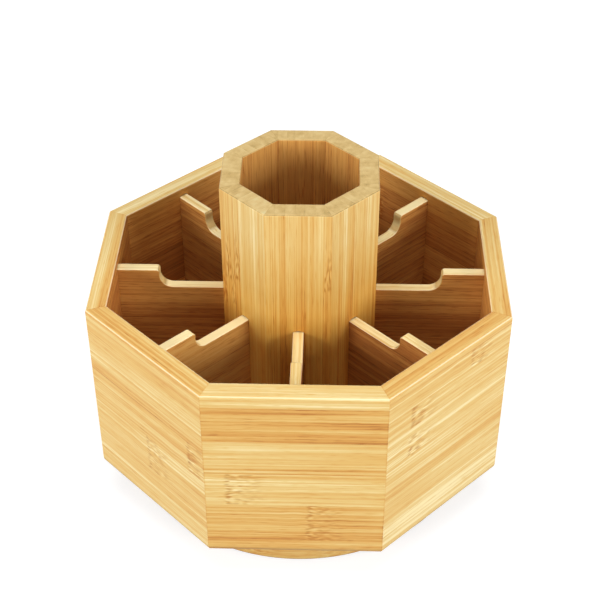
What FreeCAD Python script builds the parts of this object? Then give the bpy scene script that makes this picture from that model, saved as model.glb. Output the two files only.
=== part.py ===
"""Turning desk caddy in bamboo: an octagonal tray with a tall centre tube on a ball-race turntable.

All lengths are millimetres. +Z points up, and the origin is the middle of the surface that the caddy
stands on.
"""

import FreeCAD
import Part
import math
import os
import re
import Sketcher
from collections import namedtuple
from enum import IntEnum
from FreeCAD import Placement, Rotation, Vector

SIDE_NAMES = ("front", "front_right", "right", "back_right", "back", "back_left", "left", "front_left")
SIDES = len(SIDE_NAMES)
BALLS = 24
SCREWS = 4
FEET = 4

# Driving dimensions: each one is a cell of the spreadsheet.
SIZES = {
    # Octagonal tray
    "tray_width": 200.0,  # outside, across the flats
    "wall_thickness": 9.6,
    "wall_height": 100.5,
    "wall_edge_round": 1.0,  # eased edges of the rim
    "wall_foot_flat": 2.0,  # flat that the rounded outer foot leaves under a wall
    "floor_thickness": 9.0,
    "floor_rebate": 3.0,  # how far the floor reaches into the walls
    # Centre tube
    "tube_width": 74.0,  # outside, across the flats
    "tube_wall": 9.4,
    "tube_rise": 52.4,  # top of the tube over the rim
    "tube_edge_round": 0.7,
    # Dividers
    "divider_thickness": 5.2,
    "divider_drop": 4.9,  # rim down to the shoulder of a divider
    "divider_shoulder": 20.8,  # length of the shoulder from the wall
    "divider_step": 10.1,  # shoulder down to the low edge
    "divider_scoop": 6.4,  # radius of the scooped step
    "shoulder_round": 1.6,
    "divider_edge_round": 0.5,
    "groove_depth": 3.0,
    "groove_rise": 0.9,  # arched end of a groove over the top of its divider
    "glue_gap": 0.1,
    # Base and feet
    "base_diameter": 177.0,
    "base_thickness": 10.1,
    "base_edge_round": 2.0,
    "access_diameter": 12.0,  # hole for driving the upper screws
    "foot_diameter": 14.0,
    "foot_height": 2.0,
    "foot_taper": 0.8,  # how much the radius shrinks down to the table
    "foot_circle": 148.0,
    # Turntable bearing
    "plate_width": 100.0,
    "plate_thickness": 1.4,
    "plate_corner": 9.0,
    "race_diameter": 78.0,
    "race_relief": 0.15,  # race radius over ball radius
    "race_rise": 1.3,  # pressed lips over the flat of the plate
    "lip_width": 1.5,
    "lip_slope": 1.5,
    "ball_diameter": 5.0,
    "run_gap": 0.1,  # ball to race, and collar to upper plate
    "retainer_width": 10.0,
    "retainer_thickness": 1.6,
    "pocket_gap": 0.15,  # ball to its pocket in the retainer
    "collar_diameter": 40.0,
    "collar_wall": 1.0,
    "collar_flange": 4.0,
    "collar_gap": 0.08,  # collar to the holes of the plates
    # Wood screws of the bearing
    "screw_diameter": 3.4,
    "screw_length": 8.0,
    "screw_point": 2.5,
    "screw_head_diameter": 6.8,
    "screw_head_height": 2.0,
    "screw_head_bevel": 0.8,
    "screw_inset": 10.0,  # screw to the two edges of its plate
    "screw_gap": 0.3,  # screw to the hole in the plate
    "pilot_gap": 0.05,  # screw to its pilot hole in the wood
    "pilot_spare": 0.4,  # pilot hole past the screw's point
}

# Lengths that follow from the driving dimensions.
DERIVED = {
    "mitre": f"tan(180 deg / {SIDES})",  # half a side for each millimetre from the axis
    "base_radius": "base_diameter / 2",
    "base_top": "foot_height + base_thickness",
    "bearing_height": "2 * (plate_thickness + run_gap) + ball_diameter",
    "ball_height": "base_top + bearing_height / 2",
    "tray_bottom": "base_top + bearing_height",
    "floor_top": "tray_bottom + floor_thickness",
    "wall_outside": "tray_width / 2",
    "wall_inside": "wall_outside - wall_thickness",
    "rebate_face": "wall_inside + floor_rebate",
    "wall_foot_round": "wall_thickness - floor_rebate - wall_foot_flat",
    "rebate_reach": "wall_inside - floor_rebate",  # clear of the wall, so that the cut is open
    "floor_edge": "rebate_face - glue_gap",
    "tube_outside": "tube_width / 2",
    "tube_inside": "tube_outside - tube_wall",
    "tube_height": "wall_height - floor_thickness + tube_rise",
    "shoulder_height": "wall_height - floor_thickness - divider_drop",
    "shoulder_end": "wall_inside - divider_shoulder",
    "low_height": "shoulder_height - divider_step",
    "tongue": "groove_depth - glue_gap",
    "groove_half": "divider_thickness / 2 + glue_gap",
    "plate_half": "plate_width / 2",
    "race_radius": "race_diameter / 2",
    "race_curve": "ball_diameter / 2 + race_relief",
    "race_half": "sqrt(race_curve ^ 2 - (race_curve - race_rise) ^ 2)",
    "lip_edge": "race_radius + race_half + lip_width",
    "lip_foot": "lip_edge + lip_slope",
    "lip_top": "plate_thickness + race_rise",
    "collar_outside": "collar_diameter / 2",
    "collar_inside": "collar_outside - collar_wall",
    "collar_edge": "collar_outside + collar_flange",
    "collar_seat": "bearing_height - race_rise + run_gap",
    "screw_radius": "screw_diameter / 2",
    "screw_head_radius": "screw_head_diameter / 2",
    "screw_corner": "plate_half - screw_inset",
    "screw_circle": "screw_corner * sqrt(2)",
    "pilot_radius": "screw_radius + pilot_gap",
    "pilot_depth": "screw_length - plate_thickness + pilot_spare",
    "foot_radius": "foot_diameter / 2",
}

Arc = namedtuple("Arc", "centre_y anticlockwise")
SKETCH_ORIGIN = (-1, 1)  # how constraints name the sketch's own origin
EdgePoint = IntEnum("EdgePoint", "START END CENTRE")  # how constraints number the points of an edge
TOLERANCE = 1e-6

doc = FreeCAD.newDocument("turning_caddy")
sheet = doc.addObject("Spreadsheet::Sheet", "Sizes")
for row, (alias, length) in enumerate(SIZES.items(), start=1):
    sheet.set(f"A{row}", alias)
    sheet.set(f"B{row}", str(length))
    sheet.setAlias(f"B{row}", alias)
doc.recompute()


def bound(expression):
    """Turns the size names of an expression into references to the spreadsheet's cells."""

    def reference(match):
        name = match.group()
        if name in DERIVED:
            return f"({bound(DERIVED[name])})"
        return f"Sizes.{name}" if name in SIZES else name

    return re.sub(r"[a-z_]+", reference, expression)


def number(expression):
    return float(sheet.evalExpression(bound(expression)))


def about_z(angle):
    return Rotation(Vector(0, 0, 1), angle)


def upside_down(angle):
    return about_z(angle) * Rotation(Vector(1, 0, 0), 180)


def new_body(label, height, turn=Rotation()):
    """Starts a sub-part whose own origin lies on the caddy's axis at a height."""
    body = doc.addObject("PartDesign::Body", label)
    body.Label = label
    body.Placement = Placement(Vector(), turn)
    body.setExpression("Placement.Base.z", bound(height))
    return body


def origin_feature(body, role):
    return next(item for item in body.Origin.OriginFeatures if item.Role == role)


def attach(body, item, role, shift="0", lift="0"):
    """Attaches a sketch or primitive to a plane of its body, shifted along the plane and lifted off it."""
    item.AttachmentSupport = [(origin_feature(body, role), "")]
    item.MapMode = "FlatFace"
    item.setExpression("AttachmentOffset.Base.x", bound(shift))
    item.setExpression("AttachmentOffset.Base.z", bound(lift))
    return item


def new_sketch(body, name, role, **place):
    return attach(body, body.newObject("Sketcher::SketchObject", f"{body.Name}_{name}"), role, **place)


def tie(sketch, kind, geometry, point, expression):
    """Measures a point from the sketch's origin and binds the measure to an expression."""
    constraint = Sketcher.Constraint(kind, *SKETCH_ORIGIN, geometry, point, number(expression))
    sketch.setExpression(f"Constraints[{sketch.addConstraint(constraint)}]", bound(expression))


def add_arc(sketch, start, finish, arc):
    """Draws an arc between two points that are level, and gives its edge with the order of its ends."""
    centre = Vector((start.x + finish.x) / 2, number(arc.centre_y))
    first, last = (start, finish) if arc.anticlockwise else (finish, start)
    angles = [math.atan2(point.y - centre.y, point.x - centre.x) for point in (first, last)]
    round_edge = Part.Circle(centre, Vector(0, 0, 1), (start - centre).Length)
    edge = sketch.addGeometry(Part.ArcOfCircle(round_edge, *angles))
    tie(sketch, "DistanceY", edge, EdgePoint.CENTRE, arc.centre_y)
    ends = (EdgePoint.START, EdgePoint.END)
    return (edge, *ends) if arc.anticlockwise else (edge, *reversed(ends))


def outline(sketch, corners):
    """Draws a closed outline through corners (x, y), where an Arc as third item bends the edge that leaves."""
    points = [Vector(number(corner[0]), number(corner[1])) for corner in corners]
    edges = []
    for start, finish, corner in zip(points, points[1:] + points[:1], corners):
        if len(corner) > 2:
            edges.append(add_arc(sketch, start, finish, corner[2]))
        else:
            line = sketch.addGeometry(Part.LineSegment(start, finish))
            edges.append((line, EdgePoint.START, EdgePoint.END))
    for index, (edge, start, _) in enumerate(edges):
        before, _, finish = edges[index - 1]
        sketch.addConstraint(Sketcher.Constraint("Coincident", before, finish, edge, start))
        tie(sketch, "DistanceX", edge, start, corners[index][0])
        tie(sketch, "DistanceY", edge, start, corners[index][1])


def circle(sketch, radius, x="0", y="0"):
    """Draws a circle with its centre and radius bound to expressions."""
    middle = Vector(number(x), number(y))
    edge = sketch.addGeometry(Part.Circle(middle, Vector(0, 0, 1), number(radius)))
    tie(sketch, "DistanceX", edge, EdgePoint.CENTRE, x)
    tie(sketch, "DistanceY", edge, EdgePoint.CENTRE, y)
    index = sketch.addConstraint(Sketcher.Constraint("Radius", edge, number(radius)))
    sketch.setExpression(f"Constraints[{index}]", bound(radius))


def add_feature(body, kind, name, sketch, length=None, **settings):
    """Adds a sketch-based feature and makes it the body's tip."""
    item = body.newObject(f"PartDesign::{kind}", f"{body.Name}_{name}")
    item.Profile = sketch
    for setting, value in settings.items():
        setattr(item, setting, value)
    if length:
        item.setExpression("Length", bound(length))
    body.Tip = item
    return item


def pad(body, name, sketch, length, **settings):
    return add_feature(body, "Pad", name, sketch, length, **settings)


def pocket(body, name, sketch, length=None, **settings):
    """Cuts a sketch into the body, through all of it where no length is given."""
    doc.recompute()
    before = body.Shape.Volume
    cut = add_feature(body, "Pocket", name, sketch, length, **settings)
    if not length:
        cut.Type = "ThroughAll"
    doc.recompute()
    if body.Shape.Volume > before - TOLERANCE:
        raise RuntimeError(f"{cut.Name} cuts nothing")
    return cut


def revolve(body, name, sketch):
    """Turns a sketch once about its own vertical axis."""
    return add_feature(body, "Revolution", name, sketch, ReferenceAxis=(sketch, ["V_Axis"]), Angle=360.0)


def polar(body, name, original, count):
    """Repeats a feature evenly about the body's Z axis."""
    pattern = body.newObject("PartDesign::PolarPattern", f"{body.Name}_{name}")
    pattern.Originals = [original]
    pattern.Axis = (origin_feature(body, "Z_Axis"), [""])
    pattern.Angle = 360.0
    pattern.Occurrences = count
    body.Tip = pattern


def fillet(body, name, radius, chosen):
    """Rounds those edges of the body that the test picks."""
    doc.recompute()
    base = body.Tip
    item = body.newObject("PartDesign::Fillet", f"{body.Name}_{name}")
    item.Base = (base, [f"Edge{i}" for i, edge in enumerate(base.Shape.Edges, start=1) if chosen(edge)])
    item.setExpression("Radius", bound(radius))
    body.Tip = item


def lies_at(edge, **places):
    """Tells whether every end of an edge has the given coordinates."""
    return all(
        abs(getattr(vertex.Point, axis) - number(place)) < TOLERANCE
        for vertex in edge.Vertexes
        for axis, place in places.items()
    )


def mitred_plan(body, outside, inside):
    """Draws the plan of one side of an octagon, mitred at both ends, across the front of the axis."""
    plan = new_sketch(body, "plan", "XY_Plane")
    outline(
        plan,
        [
            (f"-{outside} * mitre", f"-{outside}"),
            (f"{outside} * mitre", f"-{outside}"),
            (f"{inside} * mitre", f"-{inside}"),
            (f"-{inside} * mitre", f"-{inside}"),
        ],
    )
    return plan


def divider_groove(body, face, divider_top, **settings):
    """Cuts the stopped groove for a divider into a face at a distance from the axis.

    The groove ends in an arch that springs from the top of the divider, so the divider always clears it.
    """
    arch_centre = f"{divider_top} + (groove_rise ^ 2 - groove_half ^ 2) / (2 * groove_rise)"
    sketch = new_sketch(body, "groove_outline", "XZ_Plane", lift=face)
    outline(
        sketch,
        [
            ("-groove_half", "0"),
            ("groove_half", "0"),
            ("groove_half", divider_top, Arc(arch_centre, True)),
            ("-groove_half", divider_top),
        ],
    )
    pocket(body, "groove", sketch, "groove_depth", **settings)


def wall_panel(label, angle):
    """One side of the tray: a mitred board with a rebate for the floor and a groove for its divider."""
    body = new_body(label, "tray_bottom", about_z(angle))
    pad(body, "board", mitred_plan(body, "wall_outside", "wall_inside"), "wall_height")
    section = new_sketch(body, "rebate_section", "YZ_Plane")
    outline(
        section,
        [
            ("-rebate_face", "-floor_rebate"),
            ("-rebate_reach", "-floor_rebate"),
            ("-rebate_reach", "floor_thickness"),
            ("-rebate_face", "floor_thickness"),
        ],
    )
    pocket(body, "rebate", section, SideType="Symmetric")
    divider_groove(body, "wall_inside", "floor_thickness + shoulder_height", Reversed=True)
    fillet(
        body,
        "rim",
        "wall_edge_round",
        lambda edge: lies_at(edge, y="-wall_outside", z="wall_height")
        or lies_at(edge, y="-wall_inside", z="wall_height"),
    )
    fillet(body, "foot", "wall_foot_round", lambda edge: lies_at(edge, y="-wall_outside", z="0"))
    return body


def tube_stave(label, angle):
    """One mitred stave of the centre tube, grooved for its divider."""
    body = new_body(label, "floor_top", about_z(angle))
    pad(body, "board", mitred_plan(body, "tube_outside", "tube_inside"), "tube_height")
    divider_groove(body, "tube_outside", "low_height")
    fillet(
        body,
        "top",
        "tube_edge_round",
        lambda edge: lies_at(edge, y="-tube_outside", z="tube_height")
        or lies_at(edge, y="-tube_inside", z="tube_height"),
    )
    return body


def divider(label, angle):
    """One divider, with a shoulder at the wall that drops in a scoop to a low edge at the tube."""
    body = new_body(label, "floor_top", about_z(angle))
    profile = new_sketch(body, "profile", "YZ_Plane")
    outline(
        profile,
        [
            ("-wall_inside - tongue", "0"),
            ("-tube_outside + tongue", "0"),
            ("-tube_outside + tongue", "low_height"),
            ("-shoulder_end", "low_height"),
            ("-shoulder_end", "shoulder_height"),
            ("-wall_inside - tongue", "shoulder_height"),
        ],
    )
    pad(body, "board", profile, "divider_thickness", SideType="Symmetric")
    for name, radius, height in (
        ("scoop", "divider_scoop", "low_height"),
        ("shoulder", "shoulder_round", "shoulder_height"),
    ):
        fillet(body, name, radius, lambda edge: lies_at(edge, y="-shoulder_end", z=height))
    low = number("low_height") - TOLERANCE

    def runs_along_top(edge):
        beside = lies_at(edge, x="divider_thickness / 2") or lies_at(edge, x="-divider_thickness / 2")
        return beside and edge.BoundBox.ZMin > low

    fillet(body, "edges", "divider_edge_round", runs_along_top)
    return body


def tray_floor():
    """Octagonal floor in the rebate of the walls, with pilot holes for the upper plate of the bearing."""
    body = new_body("tray_floor", "tray_bottom")
    plan = new_sketch(body, "plan", "XY_Plane")
    quarter = [("floor_edge", "-floor_edge * mitre"), ("floor_edge", "floor_edge * mitre")]
    across = [("floor_edge * mitre", "floor_edge"), ("-floor_edge * mitre", "floor_edge")]
    opposite = [(f"-({x})", f"-({y})") for x, y in quarter + across]
    outline(plan, quarter + across + opposite)
    pad(body, "board", plan, "floor_thickness")
    hole = new_sketch(body, "pilot_outline", "XY_Plane")
    circle(hole, "pilot_radius", x="screw_circle")
    polar(body, "pilots", pocket(body, "pilot", hole, "pilot_depth", Reversed=True), SCREWS)
    return body


def base_disc():
    """Round base with eased edges, pilot holes for the lower plate and a hole to reach the upper screws."""
    body = new_body("base_disc", "foot_height")
    plan = new_sketch(body, "plan", "XY_Plane")
    circle(plan, "base_radius")
    pad(body, "board", plan, "base_thickness")
    fillet(body, "rim", "base_edge_round", lambda edge: edge.isClosed() and lies_at(edge, x="base_radius"))
    access = new_sketch(body, "access_outline", "XY_Plane")
    circle(access, "access_diameter / 2", y="screw_circle")
    pocket(body, "access", access, Reversed=True)
    hole = new_sketch(body, "pilot_outline", "XY_Plane", lift="base_thickness")
    circle(hole, "pilot_radius", x="screw_corner", y="screw_corner")
    polar(body, "pilots", pocket(body, "pilot", hole, "pilot_depth"), SCREWS)
    return body


def foot_pad(label, angle):
    """Tapered rubber pad under the base."""
    body = new_body(label, "0", about_z(angle))
    profile = new_sketch(body, "profile", "XZ_Plane", shift="foot_circle / 2")
    outline(
        profile,
        [
            ("0", "0"),
            ("foot_radius - foot_taper", "0"),
            ("foot_radius", "foot_height"),
            ("0", "foot_height"),
        ],
    )
    revolve(body, "pad", profile)
    return body


def bearing_plate(label, height, turn):
    """Square pressed-steel plate with a round race between two raised lips, its flat side on the wood."""
    body = new_body(label, height, turn)
    plan = new_sketch(body, "plan", "XY_Plane")
    outline(
        plan,
        [
            ("-plate_half", "-plate_half"),
            ("plate_half", "-plate_half"),
            ("plate_half", "plate_half"),
            ("-plate_half", "plate_half"),
        ],
    )
    pad(body, "sheet", plan, "plate_thickness")
    fillet(body, "corners", "plate_corner", lambda edge: edge.BoundBox.ZLength > TOLERANCE)
    middle = new_sketch(body, "middle_outline", "XY_Plane")
    circle(middle, "lip_foot")
    pocket(body, "middle", middle, Reversed=True)
    section = new_sketch(body, "race_section", "XZ_Plane")
    outline(
        section,
        [
            ("lip_foot", "plate_thickness"),
            ("lip_edge", "lip_top"),
            ("race_radius + race_half", "lip_top", Arc("plate_thickness + race_curve", False)),
            ("race_radius - race_half", "lip_top"),
            ("collar_outside + collar_gap", "lip_top"),
            ("collar_outside + collar_gap", "race_rise"),
            ("race_radius - race_half", "race_rise", Arc("race_curve", True)),
            ("race_radius + race_half", "race_rise"),
            ("lip_edge", "race_rise"),
            ("lip_foot", "0"),
        ],
    )
    revolve(body, "race", section)
    hole = new_sketch(body, "hole_outline", "XY_Plane")
    circle(hole, "screw_radius + screw_gap", x="screw_corner", y="screw_corner")
    polar(body, "holes", pocket(body, "hole", hole, Reversed=True), SCREWS)
    return body


def bearing_collar():
    """Rolled steel collar that keeps the upper plate on the lower one."""
    body = new_body("bearing_collar", "base_top")
    section = new_sketch(body, "section", "XZ_Plane")
    outline(
        section,
        [
            ("collar_inside", "race_rise - collar_wall"),
            ("collar_edge", "race_rise - collar_wall"),
            ("collar_edge", "race_rise"),
            ("collar_outside", "race_rise"),
            ("collar_outside", "collar_seat"),
            ("collar_edge", "collar_seat"),
            ("collar_edge", "collar_seat + collar_wall"),
            ("collar_inside", "collar_seat + collar_wall"),
        ],
    )
    revolve(body, "collar", section)
    return body


def bearing_balls():
    """Ring of steel balls between the two races."""
    body = new_body("bearing_balls", "ball_height")
    ball = body.newObject("PartDesign::AdditiveSphere", "ball")
    attach(body, ball, "XY_Plane", shift="race_radius")
    ball.setExpression("Radius", bound("ball_diameter / 2"))
    polar(body, "ring", ball, BALLS)
    return body


def ball_retainer():
    """Flat ring that spaces the balls."""
    body = new_body("ball_retainer", "ball_height")
    plan = new_sketch(body, "plan", "XY_Plane")
    circle(plan, "race_radius - retainer_width / 2")
    circle(plan, "race_radius + retainer_width / 2")
    pad(body, "ring", plan, "retainer_thickness", SideType="Symmetric")
    hole = new_sketch(body, "pocket_outline", "XY_Plane")
    circle(hole, "ball_diameter / 2 + pocket_gap", x="race_radius")
    polar(body, "pockets", pocket(body, "pocket", hole, SideType="Symmetric"), BALLS)
    return body


def plate_screws(label, height, turn):
    """Pan-head wood screws through the corners of one plate, heads on the plate at z = 0."""
    body = new_body(label, height, turn)
    profile = new_sketch(body, "profile", "XZ_Plane", shift="screw_circle")
    outline(
        profile,
        [
            ("0", "-screw_length"),
            ("screw_radius", "-screw_length + screw_point"),
            ("screw_radius", "0"),
            ("screw_head_radius", "0"),
            ("screw_head_radius", "screw_head_height - screw_head_bevel"),
            ("screw_head_radius - screw_head_bevel", "screw_head_height"),
            ("0", "screw_head_height"),
        ],
    )
    polar(body, "set", revolve(body, "screw", profile), SCREWS)
    return body


def check(bodies):
    """Stops the script if any object of the document failed or any sub-part has no sound shape."""
    doc.recompute()
    for item in doc.Objects:
        if {"Invalid", "Error"} & set(item.State):
            raise RuntimeError(f"{item.Name} failed: {item.State}")
    for body in bodies:
        if body.Shape.isNull() or not body.Shape.isValid():
            raise RuntimeError(f"{body.Label} has no valid shape")


def build():
    """Makes every sub-part at its place in the caddy."""
    side_angles = [(name, index * 360 / SIDES) for index, name in enumerate(SIDE_NAMES)]
    corner_turn = 180 / SCREWS
    bodies = [wall_panel(f"wall_panel_{name}", angle) for name, angle in side_angles]
    bodies += [tube_stave(f"tube_stave_{name}", angle) for name, angle in side_angles]
    bodies += [divider(f"divider_{name}", angle) for name, angle in side_angles]
    bodies += [
        tray_floor(),
        base_disc(),
        bearing_plate("bearing_lower_plate", "base_top", Rotation()),
        bearing_plate("bearing_upper_plate", "tray_bottom", upside_down(corner_turn)),
        bearing_collar(),
        bearing_balls(),
        ball_retainer(),
        plate_screws("lower_plate_screws", "base_top + plate_thickness", about_z(corner_turn)),
        plate_screws("upper_plate_screws", "tray_bottom - plate_thickness", upside_down(0)),
    ]
    bodies += [foot_pad(f"foot_pad_{index + 1}", (index + 0.5) * 360 / FEET) for index in range(FEET)]
    return bodies


caddy = build()
check(caddy)
os.makedirs("parts", exist_ok=True)
for sub_part in caddy:
    sub_part.Shape.exportStep(f"parts/{sub_part.Label}.step")
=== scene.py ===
"""Looks of the turning bamboo caddy: its boards, its bearing hardware and a plain studio.

Objects are in metres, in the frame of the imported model. Patterns are worked out in millimetres.
"""

import logging
import math
import random
from collections.abc import Callable
from dataclasses import dataclass, field
from enum import Enum
from functools import cached_property, partial

import bpy
from mathutils import Matrix, Vector


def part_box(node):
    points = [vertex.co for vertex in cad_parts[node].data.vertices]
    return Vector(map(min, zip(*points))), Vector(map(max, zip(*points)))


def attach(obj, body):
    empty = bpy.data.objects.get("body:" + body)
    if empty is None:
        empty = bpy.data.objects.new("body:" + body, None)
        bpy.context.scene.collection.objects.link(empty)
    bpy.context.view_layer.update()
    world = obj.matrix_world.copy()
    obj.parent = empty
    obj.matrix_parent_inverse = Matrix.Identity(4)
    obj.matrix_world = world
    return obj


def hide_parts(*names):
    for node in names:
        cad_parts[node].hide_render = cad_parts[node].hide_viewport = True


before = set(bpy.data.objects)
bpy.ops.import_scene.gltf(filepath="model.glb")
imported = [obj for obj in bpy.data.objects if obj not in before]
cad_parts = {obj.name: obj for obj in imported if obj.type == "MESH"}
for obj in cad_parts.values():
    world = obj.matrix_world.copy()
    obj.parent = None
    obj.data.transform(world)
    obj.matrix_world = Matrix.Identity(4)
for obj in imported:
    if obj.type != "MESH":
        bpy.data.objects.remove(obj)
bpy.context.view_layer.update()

MM = 0.001
log = logging.getLogger("caddy")

Colour = tuple[float, float, float, float]
Stops = list[tuple[float, Colour]]
Node = bpy.types.Node
Sockets = bpy.types.bpy_prop_collection
Source = bpy.types.Node | bpy.types.NodeSocket
Adder = Callable[..., bpy.types.Node]  # add_node for one tree

# Blender's names for the nodes that are used most.
MATH = "ShaderNodeMath"
MAP_RANGE = "ShaderNodeMapRange"
MIX = "ShaderNodeMix"
RAMP = "ShaderNodeValToRGB"
SEPARATE = "ShaderNodeSeparateXYZ"
COMBINE = "ShaderNodeCombineXYZ"
MAPPING = "ShaderNodeMapping"
NOISE = "ShaderNodeTexNoise"
SHADER = "ShaderNodeBsdfPrincipled"
TRANSFORM = "GeometryNodeTransform"
BOOLEAN = "GeometryNodeMeshBoolean"
# Numbers of the Mix node's inputs for colours, because other inputs have the same names.
SHARE, FIRST, SECOND = 0, 6, 7


class Side(Enum):
    """The eight sides of the caddy, counted in eighths of a turn from the front."""

    FRONT = 0
    FRONT_RIGHT = 1
    RIGHT = 2
    BACK_RIGHT = 3
    BACK = 4
    BACK_LEFT = 5
    LEFT = 6
    FRONT_LEFT = 7

    @property
    def turn(self) -> float:
        """Angle about the axis from the front, in radians."""
        return self.value * math.tau / len(Side)

    def node(self, piece: str) -> str:
        """Name of the frame's node for a piece on this side."""
        return f"{piece}_{self.name.lower()}"


class Grain(Enum):
    """How a board was cut: the directions of its grain, of its strips' width and of its outer face.

    The directions are those of a board at the front, which faces -Y.
    """

    LEVEL = ((1, 0, 0), (0, 0, 1), (0, -1, 0))
    UPRIGHT = ((0, 0, 1), (-1, 0, 0), (0, -1, 0))
    RADIAL = ((0, 1, 0), (0, 0, 1), (1, 0, 0))
    FLAT = ((1, 0, 0), (0, 1, 0), (0, 0, 1))


def linear(colour: str) -> Colour:
    """Turns an sRGB colour into linear light.

    Args:
        colour: a # and six hex digits.

    Returns:
        Red, green, blue and an alpha of 1.
    """
    parts = [int(colour[i : i + 2], 16) / 255 for i in (1, 3, 5)]
    return (*(p / 12.92 if p <= 0.04045 else ((p + 0.055) / 1.055) ** 2.4 for p in parts), 1.0)


def add_node(
    tree: bpy.types.NodeTree,
    kind: str,
    inputs: dict[str | int, object] | None = None,
    stops: Stops | None = None,
    **settings: object,
) -> Node:
    """Adds a node with its settings and links.

    Args:
        tree: node tree of a material, a group or a modifier.
        kind: Blender's name for the node.
        inputs: for a socket's name or number, its value, or a tuple of the sockets or nodes that
            feed it. A single socket or node needs no tuple, and a node gives its first live output.
        stops: places and colours of a colour ramp.
        settings: properties of the node.

    Returns:
        The new node.
    """
    node = tree.nodes.new(kind)
    for name, value in settings.items():
        setattr(node, name, value)
    for key, value in (inputs or {}).items():
        sources = value if isinstance(value, tuple) else (value,)
        if not isinstance(sources[0], Source):
            node.inputs[key].default_value = value
            continue
        for source in sources:
            if isinstance(source, Node):
                source = next(socket for socket in source.outputs if socket.enabled)
            tree.links.new(source, node.inputs[key])
    if stops:
        elements = node.color_ramp.elements
        elements.remove(elements[-1])
        for place, colour in stops[1:]:
            elements.new(place).color = colour
        elements[0].position, elements[0].color = stops[0]
    return node


def weighted_sum(
    add: Adder, total: Source | float, shares: list[tuple[Source, Source | float]]
) -> Source | float:
    """Adds sources to a total, each of them times its share.

    Args:
        add: adds a node to the tree.
        total: what the sum starts from.
        shares: the sources and their shares.

    Returns:
        The sum.
    """
    for source, share in shares:
        total = add(MATH, {0: source, 1: share, 2: total}, operation="MULTIPLY_ADD")
    return total


def new_material(name: str) -> tuple[bpy.types.Material, Adder]:
    """Starts a material.

    Args:
        name: what the finish is called.

    Returns:
        The material, and what adds a node to it.
    """
    material = bpy.data.materials.new(name)
    material.use_nodes = True
    material.node_tree.nodes.clear()
    return material, partial(add_node, material.node_tree)


def dress(node: str, material: bpy.types.Material) -> None:
    """Gives a node of the frame its finish."""
    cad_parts[node].material_slots[0].material = material
    log.info("%s: %s", node, material.name)


@dataclass(frozen=True)
class Feature:
    """Noise for one feature of the wood, drawn out along the grain."""

    width_mm: float
    run_mm: float
    share: float  # how far it moves the wood's tone, or its grain in millimetres
    detail: float = 0.0  # octaves of finer noise


@dataclass
class StripNodes:
    """What the nodes of a strip's figure share."""

    add: Adder  # adds a node to the group
    given: Sockets  # inputs of the group
    apart: Source  # sets the strip apart in the noise
    past: Source | None = None  # millimetres past the strip's knuckle, along the grain

    def noise(self, feature: Feature, place: Source | None = None) -> Node:
        """Adds the noise of a feature.

        Args:
            feature: its sizes.
            place: place in the board, if it isn't the given one.

        Returns:
            The noise, from -0.5 to 0.5.
        """
        scale = [1 / feature.run_mm, 1 / feature.width_mm, 1 / feature.width_mm]
        vectors = {0: place or self.given["Place"], 1: scale, 2: self.apart}
        scaled = self.add("ShaderNodeVectorMath", vectors, operation="MULTIPLY_ADD")
        noise = self.add(
            NOISE,
            {"Vector": scaled, "Scale": 1.0, "Detail": feature.detail, "Roughness": 0.55},
        )
        return self.add(MATH, {0: noise, 1: 0.5}, operation="SUBTRACT")


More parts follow.
